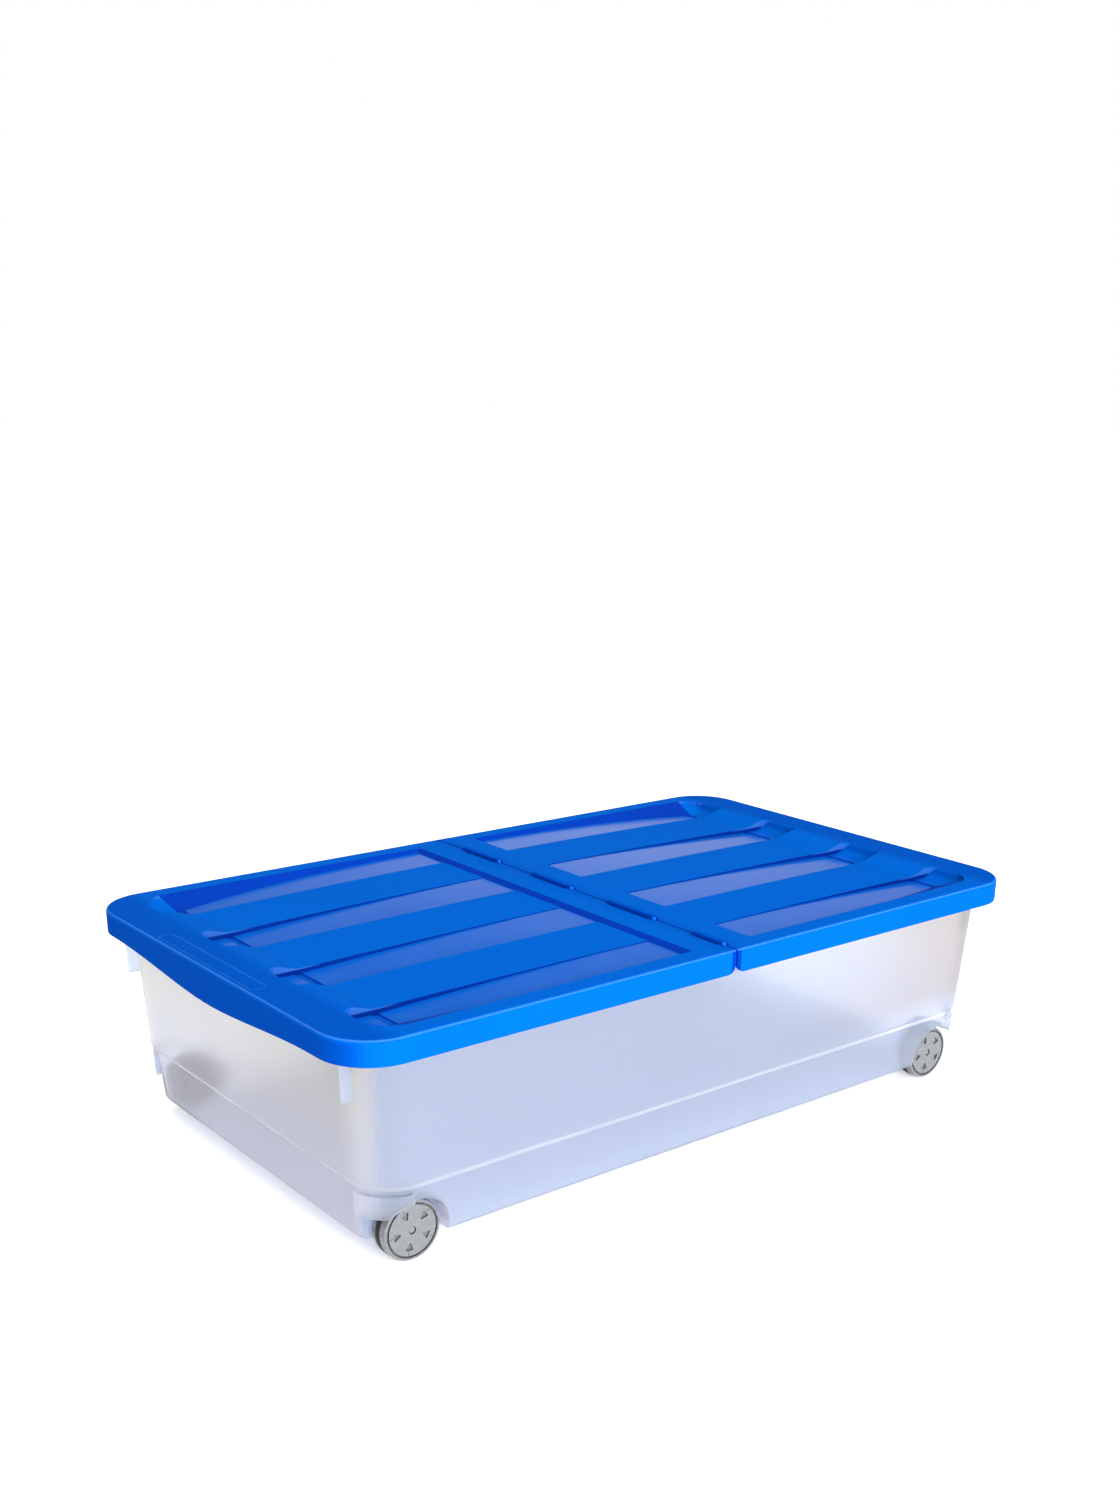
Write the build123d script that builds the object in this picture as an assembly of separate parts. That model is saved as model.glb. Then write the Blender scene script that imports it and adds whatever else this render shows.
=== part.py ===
"""Under bed storage box: a clear tub on four wheels, under a lid of two hinged flaps.

Millimetres. X runs along the length, Y across the width, Z up. The origin is on the
floor, under the middle of the box. The flaps meet over the middle, at x = 0.
"""
from build123d import *
import os

# ---- overall size ---------------------------------------------------------------
LENGTH = 790.0            # over the lid
WIDTH = 466.0             # over the lid
LID_TOP = 214.0           # flat rim of the lid above the floor
LID_CORNER = 48.0         # plan radius of the lid's corners

# ---- lid flaps ------------------------------------------------------------------
LID_WALL = 2.5
SKIRT_DROP = 22.0         # skirt height below the lid's top
SKIRT_WAVE = 11.0         # how much deeper the end skirt is in its middle
SKIRT_WAVE_HALF = 184.0   # half the width of that deeper stretch
LID_EDGE_ROUND = 3.5
SPLIT_GAP = 1.6           # gap between the two flaps
SKIRT_SPLIT_ROUND = 9.0   # rounded lower corner of the skirt beside the gap

RAIL_END = 35.0           # the flat hinge rail ends and slopes down to the ribs
FIELD_START = 41.0        # foot of that slope
FIELD_END = 352.0
FIELD_HALF_WIDTH = 212.5
RIB_TOP_START = 210.9     # rib height beside the hinge rail
RIB_TOP_END = 208.0       # rib height at the outer end
RIB_HALF_WIDTH = 166.0
FIELD_SKIN = 2.3
SKIN_TOP = LID_TOP - LID_WALL + 0.5   # the skin under the field runs up into the top plate
ABOVE_LID = LID_TOP + 20.0            # height that the room above the lid is cut to

CHANNEL_END = 322.0
GROOVE_END = 329.5
GROOVE_DEPTH = 1.2
SCOOP_FLOOR_END = 341.0
SCOOP_END = 357.0
FLOOR_START = 210.3       # channel floor beside the hinge rail
FLOOR_END = 203.5         # channel floor at its outer end
# Each channel in plan: near and far edge at the hinge end, then near and far edge and
# the two corner radii at the outer end.
INNER_CHANNEL = (35.0, 91.0, 36.0, 87.0, 9.0, 9.0)
OUTER_CHANNEL = (160.5, FIELD_HALF_WIDTH, 155.5, FIELD_HALF_WIDTH, 9.0, 30.0)
# The bank slopes from the flange down to the floor of an outer channel.
BANK_FOOT = ((RAIL_END, 208.5, 210.3), (180.0, 203.0, 208.6), (SCOOP_END, 176.0, 201.5))   # x, y, z
BANK_LOW = 190.0
BANK_INNER = 120.0

LABEL_WIDTH = 14.5        # outlined label area on one end rim
LABEL_LENGTH = 172.0
LABEL_Y = 11.0
LABEL_LINE = 1.2
LABEL_DEPTH = 0.4
LABEL_CORNER = 4.0
LABEL_INSET = 5.0

# ---- hinge ----------------------------------------------------------------------
HINGE_Z = LID_TOP + 0.4
PIN_RADIUS = 2.0
PIN_BORE_RADIUS = 2.08
BARREL_RADIUS = 3.8
LUG_RADIUS = 3.5
LUG_WIDTH = 3.5
KNUCKLE_GAP = 0.4
NOTCH_DEPTH = 5.0         # clearance cut in each flap round the hinge
NOTCH_HALF_HEIGHT = 10.0
KNUCKLE_REACH = 6.0       # a knuckle's web runs this far into its flap
BARRELS = ((148.0, 52.0), (29.0, 52.0), (-91.0, 56.0), (-197.0, 30.0))   # centre y, length
PIN_NOSE = 2.2            # room for the rounded end of the pin outside its lug
PIN_END_ROUND = 1.2

# ---- tub ------------------------------------------------------------------------
TUB_WALL = 2.5
TUB_BOTTOM = 21.0
BAND_LOW = 71.0           # foot of the sloping band
BAND_HIGH = 77.0          # top of the band, where the upper wall starts
TUB_HALF = (367.8, 215.4)   # half length and half width at BAND_HIGH
UPPER_DRAFT = 0.0475      # outward run of the wall per millimetre of height
BAND_INSET = 4.5
BOTTOM_INSET = 8.8
TUB_CORNER = 44.0
BOTTOM_ROUND = 4.0
RIM_TOP = LID_TOP - LID_WALL
RIM_HALF = (391.0, 229.5)
RIM_CORNER = 44.5
RIM_LIP_DROP = 12.0
RIM_LIP_WALL = 2.2
GUSSET_Y = 190.0
GUSSET_X = 382.0
GUSSET_LOW = 152.0
GUSSET_WALL = 2.2
GUSSET_TAPER = 2.0        # how much further out the gusset reaches at its top

# ---- wheels and their pockets -----------------------------------------------------
WHEEL_X = 323.0
WHEEL_RADIUS = 27.5
WHEEL_OUTER_Y = 200.0
WHEEL_INNER_Y = 182.0
POCKET_RADIUS = 32.0
POCKET_Y = 180.0          # back wall of the pocket
POCKET_LIP_Z = 46.5       # the corner of the tub ends here, beside the wheel
POCKET_BLEND = 8.0
CHEEK_X = 329.0           # the cheek over each wheel stands out as far as the upper wall
CHEEK_LOW = 31.0
CHEEK_HIGH = 68.0
BOSS_RADIUS = 7.0
BOSS_INNER_Y = 167.6
BOSS_FACE_Y = 181.2
AXLE_INNER_Y = 170.0      # blind end of the axle's bore in its boss

DISC_RADIUS = 27.2
OUTER_DISC_WIDTH = 7.5
TYRE_WIDTH = 6.5
TYRE_EDGE = 0.8
TYRE_FIT = 0.05           # between the tyre and the hub that it runs on
HUB_RADIUS = 20.0
DISC_EDGE = 1.2
RIM_GROOVE = (22.8, 24.8, 1.6)   # inner radius, outer radius, depth
FACE_POCKETS = 5
FACE_POCKET_APEX = 10.5
FACE_POCKET_BASE = 18.0
FACE_POCKET_WIDTH = 8.4
FACE_POCKET_DEPTH = 1.6
FACE_POCKET_ROUND = 0.9
FACE_POCKET_ANGLE = -30.0
SEAM_WIDTH = 0.8
SEAM_DEPTH = 0.5
AXLE_RADIUS = 2.5
AXLE_BORE_RADIUS = 2.58
AXLE_END_GAP = 0.5        # between the pin's end and the blind end of its bore
BOSS_BORE_RADIUS = 2.51
AXLE_HEAD_RADIUS = 3.0
AXLE_HEAD_RECESS = 3.5    # radius of the recess round the head
AXLE_HEAD_Y = (197.7, 199.2)
AXLE_HEAD_ROUND = 0.7
AXLE_RECESS_FLOOR = 197.4

FAR = 500.0               # larger than the box, for cutting bodies
OVERCUT = 1.0             # how far a cutting body runs past the face that it cuts


def slab(length, width, corner, low, high):
    """A block with rounded corners in plan, centred on the origin, from low to high."""
    return Pos(0, 0, low) * extrude(RectangleRounded(length, width, corner), high - low)


def block(x_range, y_range, z_range):
    """A plain block between two corners."""
    size = [high - low for low, high in (x_range, y_range, z_range)]
    middle = [(high + low) / 2 for low, high in (x_range, y_range, z_range)]
    return Pos(*middle) * Box(*size)


def rod_y(radius, x, z, y_from, y_to):
    """A cylinder along Y."""
    cylinder = Rot(90, 0, 0) * Cylinder(radius, abs(y_to - y_from))
    return Pos(x, (y_from + y_to) / 2, z) * cylinder


def across(outline, y_from, y_to):
    """Extrudes a closed outline in X and Z along Y. The outline is a list of edges."""
    face = make_face(Plane.XZ * (Curve() + outline))
    return Pos(0, y_to, 0) * extrude(face, y_to - y_from)


# ---- lid flap ---------------------------------------------------------------------
def skirt_wave(x_from, x_to):
    """The deeper middle of the end skirt, which hangs below the level skirt."""
    level = LID_TOP - SKIRT_DROP
    half = SKIRT_WAVE_HALF
    curve = Spline((-half, level), (0, level - SKIRT_WAVE), (half, level), tangents=((1, 0), (1, 0)))
    face = make_face(Plane.YZ * (Curve() + [curve, Line((-half, level), (half, level))]))
    return Pos(x_from, 0, 0) * extrude(face, x_to - x_from)


def flap_shell():
    """Top plate and skirt of one flap, for positive x, with no hinge and no ribs."""
    skirt_low = LID_TOP - SKIRT_DROP
    outer = slab(LENGTH, WIDTH, LID_CORNER, skirt_low, LID_TOP)
    top_edges = outer.faces().sort_by(Axis.Z)[-1].outer_wire().edges()
    outer = fillet(top_edges, LID_EDGE_ROUND)
    hollow = slab(LENGTH - 2 * LID_WALL, WIDTH - 2 * LID_WALL, LID_CORNER - LID_WALL,
                  skirt_low - OVERCUT, LID_TOP - LID_WALL)
    shell = outer - hollow
    shell = shell & block((SPLIT_GAP / 2, FAR), (-FAR, FAR), (0, FAR))
    low_corners = shell.edges().filter_by(Axis.Y).filter_by(
        lambda edge: edge.center().X < SPLIT_GAP and edge.center().Z < skirt_low + LID_WALL)
    shell = fillet(low_corners, SKIRT_SPLIT_ROUND)
    return shell + skirt_wave(LENGTH / 2 - LID_WALL, LENGTH / 2)


def rib_profile(drop):
    """Height of the rib tops along x, as edges, lowered by drop."""
    rail = (RAIL_END, LID_TOP - drop)
    foot = (FIELD_START, RIB_TOP_START - drop)
    outer = (CHANNEL_END, RIB_TOP_END - drop)
    flange = (FIELD_END, LID_TOP - drop)
    edges = [Line(rail, foot), TangentArc(foot, outer, tangent=(1, 0)),
             Spline(outer, flange, tangents=((1, 0), (1, 0)))]
    return edges, rail, flange


def channel_profile(drop):
    """Height of a channel's floor along x, out through its groove and scoop."""
    rail = (RAIL_END, LID_TOP - drop)
    foot = (FIELD_START, FLOOR_START - drop)
    floor_end = (CHANNEL_END, FLOOR_END - drop)
    groove = ((CHANNEL_END + GROOVE_END) / 2, FLOOR_END - GROOVE_DEPTH - drop)
    scoop_start = (GROOVE_END, FLOOR_END - drop)
    scoop_floor = (SCOOP_FLOOR_END, FLOOR_END - drop)
    scoop_top = (SCOOP_END, LID_TOP - drop)
    edges = [Line(rail, foot), TangentArc(foot, floor_end, tangent=(1, 0)),
             ThreePointArc(floor_end, groove, scoop_start),
             Line(scoop_start, scoop_floor),
             TangentArc(scoop_floor, scoop_top, tangent=(1, 0))]
    return edges, rail, scoop_top


def field_body(profile, drop, y_from, y_to, top):
    """Everything above a profile, up to top."""
    edges, first, last = profile(drop)
    closing = [Line(last, (last[0], top)), Line((last[0], top), (first[0], top)),
               Line((first[0], top), first)]
    return across(edges + closing, y_from, y_to)


def channel_plan(channel, side, grow=0.0):
    """Outline of a channel seen from above, as a tall prism. side is 1 or -1 for the sign of y."""
    near_start, far_start, near_end, far_end, near_round, far_round = channel
    corners = [(RAIL_END, side * (near_start - grow)), (SCOOP_END, side * (near_end - grow)),
               (SCOOP_END, side * (far_end + grow)), (RAIL_END, side * (far_start + grow))]
    outline = make_face(Polyline(*corners, close=True))
    ends = outline.vertices().filter_by(lambda vertex: vertex.X > CHANNEL_END)
    near_corner = ends.sort_by(lambda vertex: abs(vertex.Y))[0]
    outline = fillet(near_corner, near_round + grow)
    far_corner = outline.vertices().sort_by(lambda vertex: vertex.X + abs(vertex.Y))[-1]
    outline = fillet(far_corner, far_round + grow)
    return Pos(0, 0, BANK_LOW) * extrude(outline, ABOVE_LID - BANK_LOW)


def bank_section(x, foot_y, foot_z, side):
    """Cross-section of the room above a bank: bounded by the bank's slope on its outer side."""
    run = (FIELD_HALF_WIDTH - foot_y) / (LID_TOP - foot_z)
    low_y = foot_y - run * (foot_z - BANK_LOW)
    points = [(BANK_INNER, BANK_LOW), (low_y, BANK_LOW), (FIELD_HALF_WIDTH, LID_TOP),
              (FIELD_HALF_WIDTH, ABOVE_LID), (BANK_INNER, ABOVE_LID)]
    return make_face(Polyline(*[(x, side * y, z) for y, z in points], close=True))


def channel_room(channel, side, skin):
    """The room in and above one channel. With a skin, the same room set deeper and wider by it."""
    top = SKIN_TOP if skin else ABOVE_LID
    room = field_body(channel_profile, skin, -FAR, FAR, top) & channel_plan(channel, side, skin)
    if channel is OUTER_CHANNEL:
        bank = loft([bank_section(x, y, z, side) for x, y, z in BANK_FOOT])
        room &= Pos(0, side * skin, -skin) * bank
    return room


def ribbed_field(flap):
    """Sinks the field of ribs and channels into a flap, with an even skin under it."""
    channels = [(channel, side) for channel in (INNER_CHANNEL, OUTER_CHANNEL) for side in (1, -1)]
    half = RIB_HALF_WIDTH
    flap += field_body(rib_profile, FIELD_SKIN, -half, half, SKIN_TOP)
    for channel, side in channels:
        flap += channel_room(channel, side, FIELD_SKIN)
    flap -= field_body(rib_profile, 0, -half, half, ABOVE_LID)
    for channel, side in channels:
        flap -= channel_room(channel, side, 0)
    return flap


def knuckle(radius, y_from, y_to):
    """A hinge knuckle with the web that joins it to the plate at positive x."""
    web = block((0, KNUCKLE_REACH), (y_from, y_to), (LID_TOP - LID_WALL, LID_TOP))
    return rod_y(radius, 0, HINGE_Z, y_from, y_to) + web


def hinge_notch(middle, half):
    """The clearance round one barrel with its two lugs, cut from both flaps."""
    notch = half + KNUCKLE_GAP + LUG_WIDTH + PIN_NOSE
    return block((-NOTCH_DEPTH, NOTCH_DEPTH), (middle - notch, middle + notch),
                 (LID_TOP - NOTCH_HALF_HEIGHT, LID_TOP + NOTCH_HALF_HEIGHT))


def barrel_flap():
    """The flap at positive x, which carries the hinge barrels."""
    flap = ribbed_field(flap_shell())
    for middle, length in BARRELS:
        half = length / 2
        bore_half = half + OVERCUT
        flap -= hinge_notch(middle, half)
        flap += knuckle(BARREL_RADIUS, middle - half, middle + half)
        flap -= rod_y(PIN_BORE_RADIUS, 0, HINGE_Z, middle - bore_half, middle + bore_half)
    return flap


def lug_flap():
    """The flap at negative x, which carries the lugs that hold the ends of the pins."""
    flap = mirror(ribbed_field(flap_shell()), Plane.YZ)
    for middle, length in BARRELS:
        inner = length / 2 + KNUCKLE_GAP
        outer = inner + LUG_WIDTH
        bore_half = outer + OVERCUT
        flap -= hinge_notch(middle, length / 2)
        for y_from, y_to in ((middle - outer, middle - inner), (middle + inner, middle + outer)):
            flap += mirror(knuckle(LUG_RADIUS, y_from, y_to), Plane.YZ)
        flap -= rod_y(PIN_BORE_RADIUS, 0, HINGE_Z, middle - bore_half, middle + bore_half)
    return flap - label_outline()


def label_outline():
    """A shallow outlined area on the end rim of one flap."""
    x = -LENGTH / 2 + LABEL_INSET + LABEL_WIDTH / 2
    outer = RectangleRounded(LABEL_WIDTH, LABEL_LENGTH, LABEL_CORNER)
    inner = RectangleRounded(LABEL_WIDTH - 2 * LABEL_LINE, LABEL_LENGTH - 2 * LABEL_LINE,
                             LABEL_CORNER - LABEL_LINE)
    return Pos(x, LABEL_Y, LID_TOP - LABEL_DEPTH) * extrude(outer - inner, LABEL_DEPTH + OVERCUT)


def hinge_pin(middle, length):
    """A plastic hinge pin with rounded ends, through one barrel and its two lugs."""
    half = length / 2 + KNUCKLE_GAP + LUG_WIDTH + PIN_NOSE / 2
    pin = rod_y(PIN_RADIUS, 0, HINGE_Z, middle - half, middle + half)
    return fillet(pin.edges().filter_by(GeomType.CIRCLE), PIN_END_ROUND)


# ---- tub --------------------------------------------------------------------------
def tub_section(z, inset):
    """Rounded rectangle of the drafted upper wall at height z, moved in by inset."""
    draft = UPPER_DRAFT * (z - BAND_HIGH)
    length, width = (2 * (half + draft - inset) for half in TUB_HALF)
    return Pos(0, 0, z) * RectangleRounded(length, width, TUB_CORNER - inset)


def tub_lower_inset(z):
    """How far the wall below the band stands inside the line of the upper wall."""
    share = (BAND_LOW - z) / (BAND_LOW - TUB_BOTTOM)
    draft = UPPER_DRAFT * (z - BAND_HIGH)
    return BAND_INSET + draft + share * (BOTTOM_INSET - BAND_INSET)


def tub_body(bottom, top, inset):
    """The stepped body of the tub, from bottom to top, moved in by inset."""
    sections = [(bottom, tub_lower_inset(bottom)), (BAND_LOW, tub_lower_inset(BAND_LOW)),
                (BAND_HIGH, 0.0), (top, 0.0)]
    return loft([tub_section(z, step + inset) for z, step in sections], ruled=True)


def corner_blocks(x, y, z_low, z_high):
    """Four blocks that hold the corners of the tub, outside x and y."""
    return [block(sorted((sx * x, sx * FAR)), sorted((sy * y, sy * FAR)), (z_low, z_high))
            for sx in (1, -1) for sy in (1, -1)]


def wheel_pocket(sx, sy, grow):
    """The space for one wheel: an arch over it, open past the corner below the lip."""
    arch = Circle(POCKET_RADIUS + grow)
    past_corner = Pos(FAR / 2, (POCKET_LIP_Z + grow - WHEEL_RADIUS) / 2 - FAR / 2) * Rectangle(
        FAR, POCKET_LIP_Z + grow - WHEEL_RADIUS + FAR)
    outline = arch + past_corner
    joint = outline.vertices().filter_by(
        lambda vertex: 0 < vertex.X < POCKET_RADIUS + grow and vertex.Y > 0)
    outline = fillet(joint, POCKET_BLEND - grow)
    if sx < 0:
        outline = mirror(outline, Plane.YZ)
    y_from, y_to = sorted((sy * (POCKET_Y - grow), sy * FAR))
    prism = Pos(0, y_to, 0) * extrude(Plane.XZ * outline, y_to - y_from)
    return Pos(sx * WHEEL_X, 0, WHEEL_RADIUS) * prism


def box_body():
    """The tub: drafted walls, band, rim, grip gussets, wheel pockets and axle bosses."""
    rim_low = RIM_TOP - TUB_WALL
    outer = tub_body(TUB_BOTTOM, rim_low, 0)
    bottom_edges = outer.faces().sort_by(Axis.Z)[0].outer_wire().edges()
    outer = fillet(bottom_edges, BOTTOM_ROUND)
    upper = loft([tub_section(TUB_BOTTOM, 0), tub_section(BAND_HIGH, 0)], ruled=True)
    inner_upper = loft([tub_section(TUB_BOTTOM, TUB_WALL), tub_section(BAND_HIGH, TUB_WALL)], ruled=True)
    cavity = tub_body(TUB_BOTTOM + TUB_WALL, RIM_TOP + OVERCUT, TUB_WALL)
    for cheek in corner_blocks(CHEEK_X, POCKET_Y, CHEEK_LOW, CHEEK_HIGH):
        outer += upper & cheek
    for cheek in corner_blocks(CHEEK_X + TUB_WALL, POCKET_Y + TUB_WALL, CHEEK_LOW, CHEEK_HIGH - TUB_WALL):
        cavity += inner_upper & cheek
    corners = [(sx, sy) for sx in (1, -1) for sy in (1, -1)]
    for sx, sy in corners:
        outer -= wheel_pocket(sx, sy, 0)
        cavity -= wheel_pocket(sx, sy, TUB_WALL)
    rim = slab(2 * RIM_HALF[0], 2 * RIM_HALF[1], RIM_CORNER, RIM_TOP - RIM_LIP_DROP, RIM_TOP)
    under_rim = slab(2 * (RIM_HALF[0] - RIM_LIP_WALL), 2 * (RIM_HALF[1] - RIM_LIP_WALL),
                     RIM_CORNER - RIM_LIP_WALL, RIM_TOP - RIM_LIP_DROP - OVERCUT, rim_low)
    tub = outer + (rim - under_rim)
    for sx, sy in corners:
        tub += gusset(sx, sy)
    tub -= cavity
    for sx, sy in corners:
        x = sx * WHEEL_X
        tub += rod_y(BOSS_RADIUS, x, WHEEL_RADIUS, sy * BOSS_INNER_Y, sy * BOSS_FACE_Y)
        tub -= rod_y(BOSS_BORE_RADIUS, x, WHEEL_RADIUS, sy * AXLE_INNER_Y, sy * FAR)
    return tub


def gusset(sx, sy):
    """An upright plate under the rim at each end of the grip."""
    wall = TUB_HALF[0]
    top = RIM_TOP - TUB_WALL / 2
    outline = make_face(Polyline((wall, GUSSET_LOW), (GUSSET_X - GUSSET_TAPER, GUSSET_LOW),
                                 (GUSSET_X, top), (wall, top), close=True))
    if sx < 0:
        outline = mirror(outline, Plane.YZ)
    middle = sy * GUSSET_Y
    return Pos(0, middle + GUSSET_WALL / 2, 0) * extrude(Plane.XZ * outline, GUSSET_WALL)


# ---- wheels -----------------------------------------------------------------------
# A wheel is made with its axle along Z, its outer face at the top, and then laid over.
def wheel_z(y):
    """Height of a y position in the upright wheel, where z = 0 is the outer face."""
    return y - WHEEL_OUTER_Y


def face_pocket():
    """One triangular recess of the wheel's face, its point towards the hub, with its seam."""
    half_base = FACE_POCKET_WIDTH / 2
    triangle = make_face(Polyline((FACE_POCKET_APEX, 0), (FACE_POCKET_BASE, half_base),
                                  (FACE_POCKET_BASE, -half_base), close=True))
    triangle = fillet(triangle.vertices(), FACE_POCKET_ROUND)
    recess = Pos(0, 0, -FACE_POCKET_DEPTH) * extrude(triangle, FACE_POCKET_DEPTH + OVERCUT)
    seam = block((FACE_POCKET_BASE, WHEEL_RADIUS + OVERCUT), (-SEAM_WIDTH / 2, SEAM_WIDTH / 2),
                 (-SEAM_DEPTH, OVERCUT))
    return recess + seam


def outer_disc():
    """The wheel's outer half: face, rim groove, triangular recesses and the hub."""
    face = extrude(Circle(DISC_RADIUS), -OUTER_DISC_WIDTH)
    face = fillet(face.edges().filter_by(GeomType.CIRCLE).sort_by(Axis.Z)[-1], DISC_EDGE)
    hub = extrude(Circle(HUB_RADIUS), -OUTER_DISC_WIDTH - TYRE_WIDTH)
    disc = face + hub
    inner, outer, depth = RIM_GROOVE
    disc -= extrude(Circle(outer) - Circle(inner), -depth)
    for index in range(FACE_POCKETS):
        disc -= Rot(0, 0, FACE_POCKET_ANGLE + 360.0 * index / FACE_POCKETS) * face_pocket()
    disc -= extrude(Circle(AXLE_BORE_RADIUS), -FAR)
    disc -= extrude(Circle(AXLE_HEAD_RECESS), wheel_z(AXLE_RECESS_FLOOR))
    return disc


def tyre():
    """The rubber ring between the two halves of the wheel."""
    ring = Circle(WHEEL_RADIUS) - Circle(HUB_RADIUS + TYRE_FIT)
    band = Pos(0, 0, -OUTER_DISC_WIDTH) * extrude(ring, -TYRE_WIDTH)
    outer_edges = band.edges().filter_by(GeomType.CIRCLE).sort_by(lambda edge: edge.radius)[-2:]
    return fillet(outer_edges, TYRE_EDGE)


def inner_disc():
    """The wheel's inner half, against the pocket's back wall."""
    width = WHEEL_OUTER_Y - WHEEL_INNER_Y - OUTER_DISC_WIDTH - TYRE_WIDTH
    ring = Circle(DISC_RADIUS) - Circle(AXLE_BORE_RADIUS)
    disc = Pos(0, 0, wheel_z(WHEEL_INNER_Y)) * extrude(ring, width)
    rims = disc.edges().filter_by(GeomType.CIRCLE).filter_by(lambda edge: edge.radius > HUB_RADIUS)
    return fillet(rims.sort_by(Axis.Z)[0], DISC_EDGE)


def axle_pin():
    """The headed pin that holds a wheel in the boss of its pocket."""
    low = wheel_z(AXLE_INNER_Y + AXLE_END_GAP)
    head_low, head_high = (wheel_z(y) for y in AXLE_HEAD_Y)
    shank = Pos(0, 0, low) * extrude(Circle(AXLE_RADIUS), head_high - low - AXLE_HEAD_ROUND)
    head = Pos(0, 0, head_low) * extrude(Circle(AXLE_HEAD_RADIUS), head_high - head_low)
    head = fillet(head.edges().filter_by(GeomType.CIRCLE).sort_by(Axis.Z)[-1], AXLE_HEAD_ROUND)
    return shank + head


def place_wheel_part(part, sx, sy):
    """Lays an upright wheel part over, with its face towards sy, and puts it at its corner."""
    laid = Rot(-90 * sy, 0, 0) * part
    return Pos(sx * WHEEL_X, sy * WHEEL_OUTER_Y, WHEEL_RADIUS) * laid


# ---- all pieces -------------------------------------------------------------------
def all_pieces():
    """Every node's name and shape."""
    pieces = {"box_body": box_body(), "lid_flap_right": barrel_flap(), "lid_flap_left": lug_flap()}
    for index, (middle, length) in enumerate(BARRELS):
        pieces[f"hinge_pin_{index + 1}"] = hinge_pin(middle, length)
    wheel_parts = {"wheel_outer_disc": outer_disc(), "wheel_tyre": tyre(),
                   "wheel_inner_disc": inner_disc(), "axle_pin": axle_pin()}
    for side, sy in (("front", -1), ("rear", 1)):
        for end, sx in (("left", -1), ("right", 1)):
            for name, part in wheel_parts.items():
                pieces[f"{name}_{side}_{end}"] = place_wheel_part(part, sx, sy)
    return pieces


os.makedirs("parts", exist_ok=True)
for node, shape in all_pieces().items():
    export_step(shape, f"parts/{node}.step")
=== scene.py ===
"""Looks of the under bed box: materials, floor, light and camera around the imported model."""

from math import cos, radians, sin

import bmesh
import bpy
from mathutils import Matrix, Vector

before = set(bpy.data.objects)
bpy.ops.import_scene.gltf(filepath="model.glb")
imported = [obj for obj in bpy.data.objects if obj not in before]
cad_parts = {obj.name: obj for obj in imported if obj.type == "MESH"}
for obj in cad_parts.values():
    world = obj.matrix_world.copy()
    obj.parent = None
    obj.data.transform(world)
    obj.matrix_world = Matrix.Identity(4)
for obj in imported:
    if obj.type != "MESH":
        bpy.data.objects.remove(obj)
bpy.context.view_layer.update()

# ---- sizes taken from the model, in metres ------------------------------------------------
LID_TOP = 0.214
HINGE_GAP = (0.0052, 0.0058)              # the slots along the hinge end at this distance from it
RAIL_END, FIELD_START = 0.035, 0.041      # the hinge rail's slope
CHANNEL_END = 0.322
SCOOP_START, SCOOP_END = 0.3295, 0.3415   # level floor of a scoop
FLOOR_START, FLOOR_END = 0.2103, 0.2035   # height of a channel's floor at its two ends
FIELD_X, FIELD_Y = 0.3575, 0.2128         # half length and half width of the sunk field
# Distances of a channel's two sides from the middle, at the rail and at the field's end.
CHANNELS = ((0.035, 0.091, 0.036, 0.087), (0.1605, 0.2125, 0.1555, 0.2125))
LABEL_X, LABEL_Y = -0.38275, 0.011        # middle of the outlined label area
LABEL_HALF_X, LABEL_HALF_Y = 0.00725, 0.086
LABEL_CORNER = 0.004
LABEL_LINE = (LABEL_CORNER - 0.0006, LABEL_CORNER + 0.0002)
TUB_BAND = (0.0675, 0.0775)               # heights of the tub's sloping band and the cheeks' ledges
AXLE_X, AXLE_Z = 0.323, 0.0275
WHEEL_FACE_Y = 0.200
WHEEL_RIM = (0.0250, 0.0258)              # radii between which the rim's face starts
WHEEL_GROOVE = (0.0226, 0.0250)           # radii of the rim's groove


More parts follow.
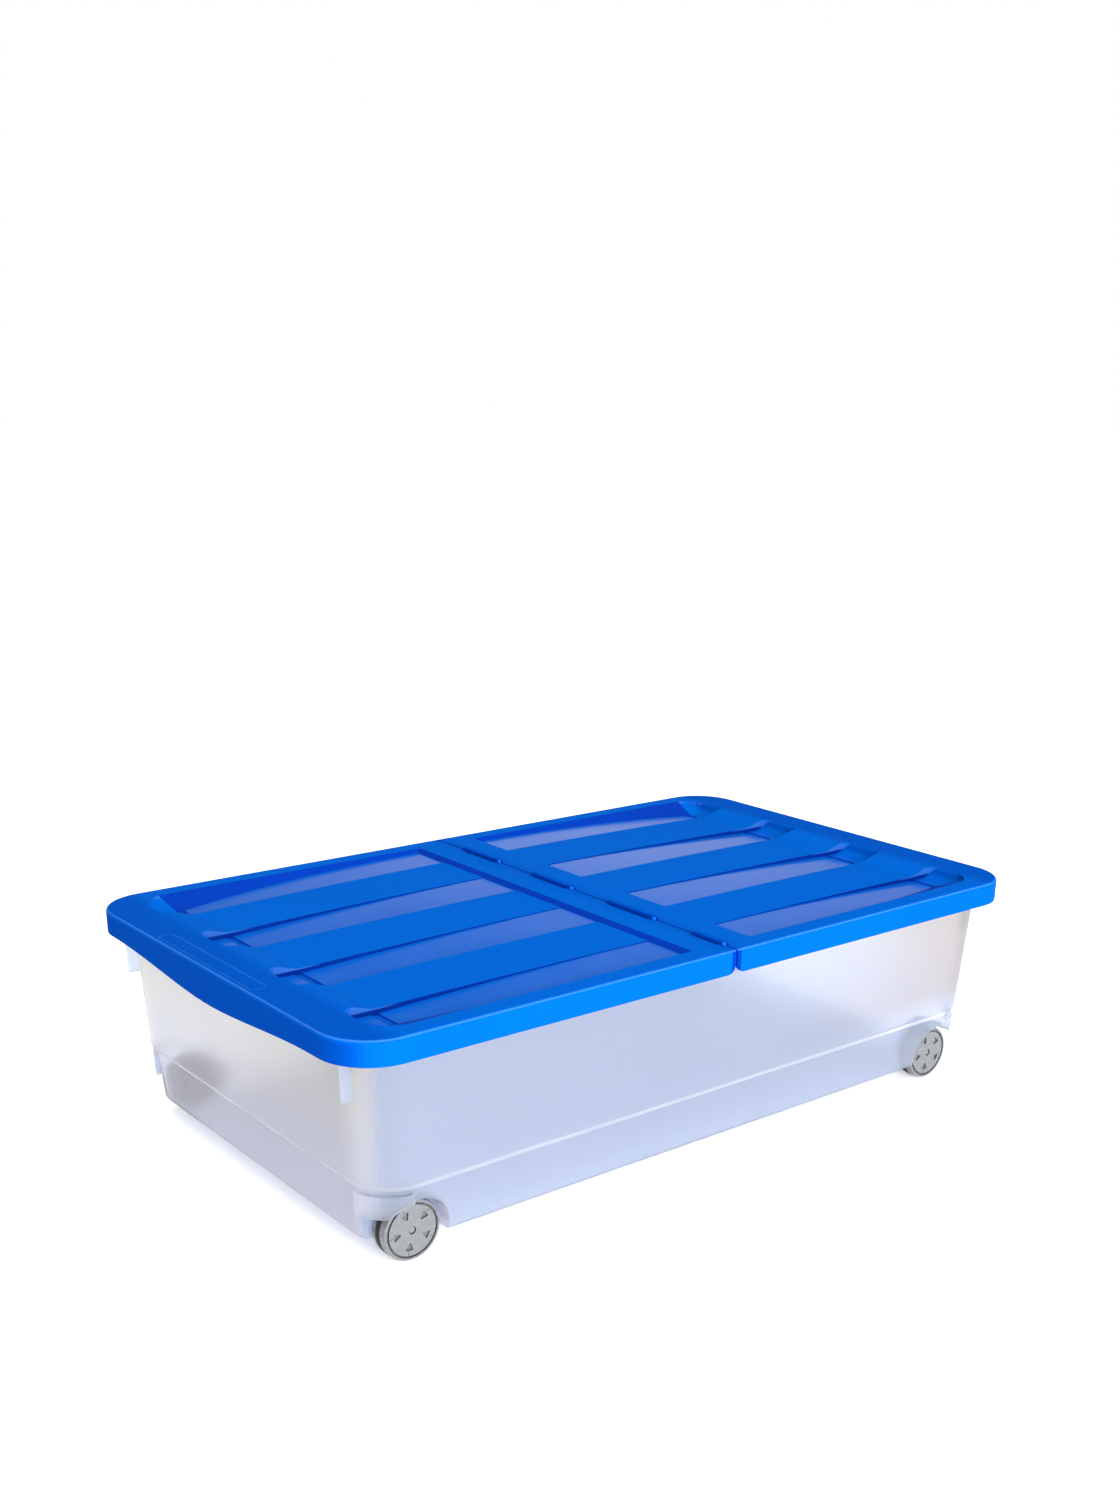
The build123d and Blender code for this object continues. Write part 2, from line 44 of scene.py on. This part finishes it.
# ---- node helpers -------------------------------------------------------------------------
class Nodes:
    """A material and short ways to build its node tree."""

    def __init__(self, name, **numbers):
        """The keywords are shader sockets that have one value all over, with _ for a space."""
        self.material = bpy.data.materials.new(name)
        self.material.use_nodes = True
        self.tree = self.material.node_tree
        self.shader = self.tree.nodes["Principled BSDF"]
        for socket, value in numbers.items():
            self.shader.inputs[socket.replace("_", " ")].default_value = value

    def put(self, socket, value):
        if isinstance(value, bpy.types.NodeSocket):
            self.tree.links.new(value, socket)
        else:
            socket.default_value = value

    def node(self, kind, **attributes):
        made = self.tree.nodes.new(kind)
        for name, value in attributes.items():
            setattr(made, name, value)
        return made

    def math(self, operation, a, b=0.0):
        made = self.node("ShaderNodeMath", operation=operation)
        self.put(made.inputs[0], a)
        self.put(made.inputs[1], b)
        return made.outputs[0]

    def add(self, a, b):
        return self.math("ADD", a, b)

    def times(self, a, b):
        return self.math("MULTIPLY", a, b)

    def size(self, value):
        return self.math("ABSOLUTE", value)

    def length(self, a, b):
        return self.math("SQRT", self.add(self.times(a, a), self.times(b, b)))

    def step(self, value, low, high):
        """0 at low and 1 at high, smooth between. Low may be above high."""
        made = self.node("ShaderNodeMapRange", interpolation_type="SMOOTHSTEP")
        self.put(made.inputs["Value"], value)
        made.inputs["From Min"].default_value = min(low, high)
        made.inputs["From Max"].default_value = max(low, high)
        made.inputs["To Min"].default_value = float(low > high)
        made.inputs["To Max"].default_value = float(low < high)
        return made.outputs["Result"]

    def past(self, value, limit):
        """How far a value is past a limit, or 0."""
        return self.math("MAXIMUM", self.math("SUBTRACT", value, limit), 0.0)

    def band(self, value, low, high, soft):
        """1 between low and high, 0 outside."""
        return self.times(self.step(value, low - soft, low), self.step(value, high + soft, high))

    def mix(self, factor, a, b):
        made = self.node("ShaderNodeMix", data_type="RGBA")
        for socket, value in (("Factor", factor), ("A", a), ("B", b)):
            self.put(made.inputs[socket], value)
        return made.outputs["Result"]

    def split(self, vector):
        made = self.node("ShaderNodeSeparateXYZ")
        self.tree.links.new(vector, made.inputs[0])
        return made.outputs

    def place(self):
        """The surface point in the row's frame, in metres."""
        return self.node("ShaderNodeTexCoord").outputs["Object"]

    def facing(self):
        """x, y and z of the face's own direction."""
        return self.split(self.node("ShaderNodeNewGeometry").outputs["True Normal"])

    def noise(self, place, scale, detail=2.0, rough=0.5):
        made = self.node("ShaderNodeTexNoise")
        self.put(made.inputs["Vector"], place)
        made.inputs["Scale"].default_value = scale
        made.inputs["Detail"].default_value = detail
        made.inputs["Roughness"].default_value = rough
        return made.outputs["Fac"]

    def bump(self, height, strength, distance):
        made = self.node("ShaderNodeBump")
        made.inputs["Strength"].default_value = strength
        made.inputs["Distance"].default_value = distance
        self.put(made.inputs["Height"], height)
        return made.outputs["Normal"]

    def give(self, colour, roughness, normal=None):
        self.put(self.shader.inputs["Base Color"], colour)
        self.put(self.shader.inputs["Roughness"], roughness)
        if normal is not None:
            self.put(self.shader.inputs["Normal"], normal)
        return self.material


# ---- materials ----------------------------------------------------------------------------
def lid_satin():
    """Satin blue moulding, with painted shade near the hinge, on the ends and in the hinge slots,
    and painted highlights along its outer top edge and the label's outline.
    """
    m = Nodes("lid_satin", Specular_IOR_Level=0.0015)
    place = m.place()
    x, y, z = m.split(place)
    along, _, up = m.facing()
    flat = m.step(up, 0.5, 0.9)
    # Painted shade: flat faces darker close to the hinge line.
    valley_shade = m.times(m.step(m.size(x), 0.016, 0.001), flat)
    wide = m.noise(place, 9.0, 3.0, 0.55)
    fine = m.noise(place, 2600.0, 2.0, 0.6)
    # Painted highlight along the rounded outer top edge, made patchy by this noise.
    highlight_patches = m.noise(place, 160.0, 4.0, 0.7)
    rounding = m.band(z, LID_TOP - 0.0014, LID_TOP - 0.0006, 0.0003)
    edge = m.times(rounding, m.band(up, 0.55, 0.93, 0.04))
    edge = m.times(edge, m.add(0.35, highlight_patches))
    # Painted highlight: a thin lighter line along the label area's moulded outline.
    past_x = m.past(m.size(m.math("SUBTRACT", x, LABEL_X)), LABEL_HALF_X - LABEL_CORNER)
    past_y = m.past(m.size(m.math("SUBTRACT", y, LABEL_Y)), LABEL_HALF_Y - LABEL_CORNER)
    line = m.times(m.band(m.length(past_x, past_y), *LABEL_LINE, 0.0003), flat)
    # Painted shade: darker at the scoops' rising ends and on the end rims.
    end_strip = m.times(m.step(m.size(x), 0.345, 0.365), m.step(up, 0.3, 0.7))
    # Painted shade: darker on faces turned to the lid's ends, below the top.
    below_top = m.step(z, LID_TOP - 0.001, LID_TOP - 0.005)
    end_wall = m.times(m.step(m.size(along), 0.5, 0.9), below_top)
    # Painted shade on the sloping and upright faces in the hinge slots.
    hinge_slot_shade = m.times(m.step(m.size(x), HINGE_GAP[1], HINGE_GAP[0]), m.step(up, 0.93, 0.6))
    colour = m.mix(wide, (0.0002, 0.090, 0.46, 1), (0.0005, 0.102, 0.50, 1))
    # Painted shade and painted highlights laid over the random tone.
    for share, other in ((m.times(end_strip, 0.7), (0.0002, 0.058, 0.375, 1)),
                         (m.times(end_wall, 0.8), (0.0001, 0.044, 0.32, 1)),
                         (m.times(valley_shade, 0.35), (0.0003, 0.045, 0.36, 1)),
                         (m.times(hinge_slot_shade, 0.9), (0.0002, 0.028, 0.30, 1)),
                         (m.times(edge, 0.5), (0.06, 0.22, 0.62, 1)),
                         (m.times(line, 0.8), (0.03, 0.17, 0.62, 1))):
        colour = m.mix(share, colour, other)
    roughness = m.add(0.46, m.times(wide, 0.14))
    return m.give(colour, roughness, m.bump(fine, 0.12, 0.0002))


def lid_gloss():
    """The polished floors of the channels."""
    m = Nodes("lid_gloss", Specular_IOR_Level=0.175)
    place = m.place()
    wide = m.noise(place, 14.0, 3.0, 0.55)
    colour = m.mix(wide, (0.0006, 0.092, 0.48, 1), (0.0010, 0.104, 0.52, 1))
    roughness = m.add(0.13, m.times(wide, 0.08))
    return m.give(colour, roughness, m.bump(m.noise(place, 30.0), 0.05, 0.001))


def lid_bank():
    """The sloping banks round the field: a darker copy of the satin blue, as painted shade."""
    m = Nodes("lid_bank", Specular_IOR_Level=0.008)
    place = m.place()
    wide = m.noise(place, 20.0, 3.0, 0.55)
    colour = m.mix(wide, (0.0002, 0.028, 0.30, 1), (0.0004, 0.036, 0.35, 1))
    roughness = m.add(0.4, m.times(wide, 0.1))
    return m.give(colour, roughness, m.bump(m.noise(place, 2600.0), 0.1, 0.0002))


def lid_wall():
    """The upright walls between ribs and channels, painted dark as shade, with a painted highlight
    along the top near a rib's end.
    """
    m = Nodes("lid_wall", Specular_IOR_Level=0.05)
    place = m.place()
    x, _, z = m.split(place)
    from_hinge = m.size(x)
    wide = m.noise(place, 40.0, 3.0, 0.55)
    # Painted highlight along the walls' top near a rib's end.
    line = m.times(m.step(from_hinge, 0.300, CHANNEL_END), m.step(z, 0.2068, 0.2076))
    # Painted shade: a dark copy of the blue.
    colour = m.mix(wide, (0.0002, 0.015, 0.17, 1), (0.0003, 0.020, 0.21, 1))
    colour = m.mix(m.times(line, 0.5), colour, (0.05, 0.20, 0.6, 1))
    roughness = m.add(0.3, m.times(wide, 0.1))
    return m.give(colour, roughness, m.bump(m.noise(place, 2600.0), 0.08, 0.0002))


def tub_clear():
    """Milky translucent moulding, with painted light: end walls brighter and warmer, warmest at the
    top; painted shade to the upper right; a painted pale band.

    The roughness stays above 0.28. Below it the denoiser sharpens what lies behind the wall.
    """
    m = Nodes("tub_clear", Transmission_Weight=0.84, IOR=1.07)
    place = m.place()
    x, _, z = m.split(place)
    wide = m.noise(place, 6.0, 2.0, 0.5)
    fine = m.noise(place, 1800.0, 2.0, 0.6)
    along, _, up = m.facing()
    # Painted light: the end walls brighter and warmer than the sides, warmest towards the top.
    ends = m.step(m.size(along), 0.55, 0.97)
    sides = m.mix(wide, (0.645, 0.695, 0.80, 1), (0.675, 0.72, 0.82, 1))
    # Painted shade: the sides greyer towards the upper right.
    upper_right_shade = m.times(m.step(x, 0.05, 0.36), m.step(z, 0.07, 0.11))
    sides = m.mix(upper_right_shade, sides, (0.54, 0.52, 0.54, 1))
    end_walls = m.mix(m.step(z, 0.05, 0.19), (0.93, 0.91, 0.94, 1), (0.98, 0.93, 0.83, 1))
    colour = m.mix(ends, sides, end_walls)
    # Painted light: the sloping band and the cheeks' ledges near white, as if lit by the floor.
    under, over = m.step(up, -0.2, -0.4), m.step(up, 0.5, 0.9)
    ledge = m.times(m.band(z, *TUB_BAND, 0.0004), m.math("MAXIMUM", under, over))
    colour = m.mix(m.times(ledge, 0.95), colour, (0.98, 0.985, 1.0, 1))
    roughness = m.add(0.285, m.times(wide, 0.05))
    return m.give(colour, roughness, m.bump(fine, 0.08, 0.0002))


def pin_blue():
    """Smooth blue pins, glossier than the lid."""
    m = Nodes("pin_blue", Specular_IOR_Level=0.12)
    place = m.place()
    wide = m.noise(place, 60.0)
    colour = m.mix(wide, (0.002, 0.11, 0.56, 1), (0.004, 0.13, 0.62, 1))
    roughness = m.add(0.25, m.times(wide, 0.1))
    return m.give(colour, roughness, m.bump(m.noise(place, 900.0), 0.1, 0.0002))


def wheel_smoke():
    """Smoke grey disc: a softly mottled face, with painted shade in its groove and its recesses."""
    m = Nodes("wheel_smoke", Transmission_Weight=0.12, IOR=1.5)
    place = m.place()
    x, y, z = m.split(place)
    off_x = m.math("SUBTRACT", m.size(x), AXLE_X)
    off_z = m.math("SUBTRACT", z, AXLE_Z)
    radius = m.length(off_x, off_z)
    depth = m.math("SUBTRACT", WHEEL_FACE_Y, m.size(y))
    # Painted shade: the rim's groove and the recesses' sides and floors near black.
    sunk = m.times(m.step(depth, 0.0003, 0.0006), m.step(radius, WHEEL_RIM[1], WHEEL_RIM[0]))
    upright = m.step(m.size(m.facing()[1]), 0.8, 0.4)
    groove = m.band(radius, *WHEEL_GROOVE, 0.0001)
    side_or_groove = m.math("MAXIMUM", upright, m.times(groove, 0.75))
    dark = m.times(sunk, m.math("MAXIMUM", side_or_groove, 0.35))
    wide = m.noise(place, 45.0, 3.0, 0.6)
    mottle = m.noise(place, 190.0, 3.0, 0.6)
    colour = m.mix(wide, (0.155, 0.165, 0.175, 1), (0.185, 0.195, 0.205, 1))
    colour = m.mix(m.step(mottle, 0.40, 0.80), colour, (0.195, 0.205, 0.216, 1))
    colour = m.mix(m.times(dark, 0.92), colour, (0.022, 0.025, 0.028, 1))
    roughness = m.add(0.24, m.times(mottle, 0.06))
    return m.give(colour, roughness, m.bump(mottle, 0.04, 0.0002))


def tyre_dark():
    """Dull dark rubber ring."""
    m = Nodes("tyre_dark", Specular_IOR_Level=0.2)
    place = m.place()
    wide = m.noise(place, 70.0, 4.0, 0.6)
    fine = m.noise(place, 1500.0, 3.0, 0.7)
    colour = m.mix(wide, (0.008, 0.008, 0.009, 1), (0.022, 0.022, 0.024, 1))
    roughness = m.add(0.5, m.times(wide, 0.2))
    return m.give(colour, roughness, m.bump(fine, 0.3, 0.0003))


def axle_grey():
    """Grey pins, close to the wheels' grey."""
    m = Nodes("axle_grey")
    place = m.place()
    wide = m.noise(place, 120.0)
    colour = m.mix(wide, (0.13, 0.14, 0.15, 1), (0.19, 0.20, 0.21, 1))
    roughness = m.add(0.28, m.times(wide, 0.1))
    return m.give(colour, roughness, m.bump(m.noise(place, 1200.0), 0.1, 0.0002))


def floor_white():
    """Plain white floor, lit a little from within so that it stays pale under the box."""
    m = Nodes("floor_white", Specular_IOR_Level=0.0, Emission_Color=(1, 1, 1, 1),
              Emission_Strength=0.38)
    wide = m.noise(m.place(), 1.5)
    return m.give(m.mix(wide, (0.86, 0.86, 0.86, 1), (0.88, 0.88, 0.88, 1)), 0.9)


looks = {"lid_flap": lid_satin(), "hinge_pin": pin_blue(), "box_body": tub_clear(),
         "wheel_outer": wheel_smoke(), "wheel_inner": wheel_smoke(), "wheel_tyre": tyre_dark(),
         "axle_pin": axle_grey()}
for name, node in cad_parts.items():
    look = next(material for start, material in looks.items() if name.startswith(start))
    node.data.materials.clear()
    node.data.materials.append(look)

# ---- the lid's polished floors, banks and walls ---------------------------------------------
# BANK and WALL are darker copies of the satin blue: painted shade.
SATIN, GLOSS, BANK, WALL = range(4)
FLUSH = 0.0002                                # how far a face may be from where it should lie
UPRIGHT, SLOPING, LEVEL = 0.35, 0.97, 0.985   # limits of a face's upward direction
UNDERSIDE = FLOOR_END - 0.002                 # below it lies nothing but the lid's underside


def floor_height(x):
    """Height of a channel's floor at a distance x from the hinge."""
    share = (x - FIELD_START) / (CHANNEL_END - FIELD_START)
    return FLOOR_START - (FLOOR_START - FLOOR_END) * min(max(share, 0.0), 1.0) ** 2


def in_channel(x, y):
    """Is a point at distances x and y from the middle over a channel?"""
    share = (x - RAIL_END) / (FIELD_X - RAIL_END)
    for near_start, far_start, near_end, far_end in CHANNELS:
        near = near_start + share * (near_end - near_start)
        far = far_start + share * (far_end - far_start)
        if near - FLUSH < y < far + FLUSH:
            return True
    return False


def lid_zone(face, vertices):
    """Which of the lid's finishes a face has."""
    corners = [vertices[index].co for index in face.vertices]
    x = [abs(corner.x) for corner in corners]
    middle = sum(corners, Vector()) / len(corners)
    up = face.normal.z
    if up < -FLUSH or middle.z < UNDERSIDE:
        return SATIN
    if abs(middle.x) > FIELD_X or abs(middle.y) > FIELD_Y:
        return SATIN
    if abs(middle.x) < RAIL_END - 0.001 or min(corner.z for corner in corners) > LID_TOP - FLUSH:
        return SATIN
    if up < UPRIGHT:
        return WALL
    on_floor = all(abs(corner.z - floor_height(abs(corner.x))) < FLUSH for corner in corners)
    in_floor = min(x) > FIELD_START - FLUSH and max(x) < CHANNEL_END + FLUSH
    in_scoop = min(x) > SCOOP_START - FLUSH and max(x) < SCOOP_END
    if up > LEVEL and on_floor and (in_floor or in_scoop):
        return GLOSS
    beside_floor = in_channel(abs(middle.x), abs(middle.y)) and abs(middle.x) < SCOOP_START
    sloping = up < SLOPING and (beside_floor or abs(middle.x) < FIELD_START)
    return BANK if sloping else SATIN


for name in ("lid_flap_left", "lid_flap_right"):
    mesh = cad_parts[name].data
    for look in (lid_gloss(), lid_bank(), lid_wall()):
        mesh.materials.append(look)
    for face in mesh.polygons:
        face.material_index = lid_zone(face, mesh.vertices)

# ---- floor ----------------------------------------------------------------------------------
FLOOR_HALF = 30.0
FLOOR_DROP = 0.0002   # keeps it clear of the wheels
shape = bpy.data.meshes.new("floor")
grid = bmesh.new()
bmesh.ops.create_grid(grid, x_segments=4, y_segments=4, size=FLOOR_HALF)
grid.to_mesh(shape)
grid.free()
floor = bpy.data.objects.new("floor", shape)
floor.data.materials.append(floor_white())
bpy.context.collection.objects.link(floor)
floor.location.z = -FLOOR_DROP

# ---- light ----------------------------------------------------------------------------------
world = bpy.data.worlds.new("studio")
bpy.context.scene.world = world
world.use_nodes = True
sky = world.node_tree
background = sky.nodes["Background"]
direction = sky.nodes.new("ShaderNodeSeparateXYZ")
sky.links.new(sky.nodes.new("ShaderNodeTexCoord").outputs["Generated"], direction.inputs[0])


def world_ramp(axis, start, end, low, high):
    """A number that goes from low to high as a direction's axis goes from start to end."""
    ramp = sky.nodes.new("ShaderNodeMapRange")
    ramp.interpolation_type = "SMOOTHSTEP"
    sky.links.new(direction.outputs[axis], ramp.inputs["Value"])
    ramp.inputs["From Min"].default_value = start
    ramp.inputs["From Max"].default_value = end
    ramp.inputs["To Min"].default_value = low
    ramp.inputs["To Max"].default_value = high
    return ramp.outputs["Result"]


def world_math(operation, a, b):
    made = sky.nodes.new("ShaderNodeMath")
    made.operation = operation
    sky.links.new(a, made.inputs[0])
    sky.links.new(b, made.inputs[1])
    return made.outputs["Value"]


# The sky is dimmer to the left and far right, dark above the horizon and bright overhead.
from_left = world_ramp("X", -0.8, 0.1, 0.60, 1.0)
to_right = world_ramp("X", 0.62, 0.80, 1.0, 0.5)
above_horizon = world_ramp("Z", 0.22, 0.36, 1.0, 0.08)
low_sky = world_math("MULTIPLY", world_math("MULTIPLY", from_left, to_right), above_horizon)
total = world_math("ADD", low_sky, world_ramp("Z", 0.42, 0.75, 0.0, 1.4))
sky.links.new(total, background.inputs["Strength"])
tint = sky.nodes.new("ShaderNodeMix")   # cooler towards the front
tint.data_type = "RGBA"
sky.links.new(world_ramp("Y", -0.7, 0.0, 1.0, 0.0), tint.inputs["Factor"])
tint.inputs["A"].default_value = (1.0, 1.0, 1.0, 1)
tint.inputs["B"].default_value = (0.90, 0.95, 1.0, 1)
sky.links.new(tint.outputs["Result"], background.inputs["Color"])

# Beyond the floor the camera sees plain white.
plain = sky.nodes.new("ShaderNodeBackground")
plain.inputs["Color"].default_value = (1.0, 1.0, 1.0, 1)
choice = sky.nodes.new("ShaderNodeMixShader")
sky.links.new(sky.nodes.new("ShaderNodeLightPath").outputs["Is Camera Ray"], choice.inputs["Fac"])
sky.links.new(background.outputs[0], choice.inputs[1])
sky.links.new(plain.outputs[0], choice.inputs[2])
sky.links.new(choice.outputs[0], sky.nodes["World Output"].inputs["Surface"])


def area_light(name, place, target, size, power):
    data = bpy.data.lights.new(name, "AREA")
    data.shape = "RECTANGLE"
    data.size, data.size_y = size
    data.energy = power
    made = bpy.data.objects.new(name, data)
    made.location = place
    made.rotation_euler = (Vector(target) - Vector(place)).to_track_quat("-Z", "Y").to_euler()
    bpy.context.collection.objects.link(made)


area_light("front_softbox", place=(-0.7, -3.3, 1.1), target=(-0.1, 0, 0.1), size=(2.4, 1.6),
           power=190)

# ---- camera ---------------------------------------------------------------------------------
AZIMUTH, ELEVATION, ROLL = radians(-39.053), radians(21.504), radians(0.925)
DISTANCE = 1.64836
TARGET_HEIGHT = 0.06
IMAGE_HEIGHT, FOCAL, SHIFT = 1500, 1624.58, (-8.64, 284.73)   # in pixels of the whole image
SENSOR = 36   # in millimetres, along the image's longer side
camera_data = bpy.data.cameras.new("camera")
camera_data.sensor_width = SENSOR
camera_data.lens = FOCAL * SENSOR / IMAGE_HEIGHT
camera_data.shift_x = SHIFT[0] / IMAGE_HEIGHT
camera_data.shift_y = SHIFT[1] / IMAGE_HEIGHT
camera = bpy.data.objects.new("camera", camera_data)
bpy.context.collection.objects.link(camera)
back = Vector((sin(AZIMUTH) * cos(ELEVATION), -cos(AZIMUTH) * cos(ELEVATION), sin(ELEVATION)))
right = (-back).cross(Vector((0, 0, 1))).normalized()
above = back.cross(right)
turned_right = cos(ROLL) * right + sin(ROLL) * above
turned_above = cos(ROLL) * above - sin(ROLL) * right
eye = back * DISTANCE + Vector((0, 0, TARGET_HEIGHT))
turn = Matrix((turned_right, turned_above, back)).transposed().to_4x4()
camera.matrix_world = Matrix.Translation(eye) @ turn
bpy.context.scene.camera = camera
bpy.context.scene.view_settings.view_transform = "Standard"
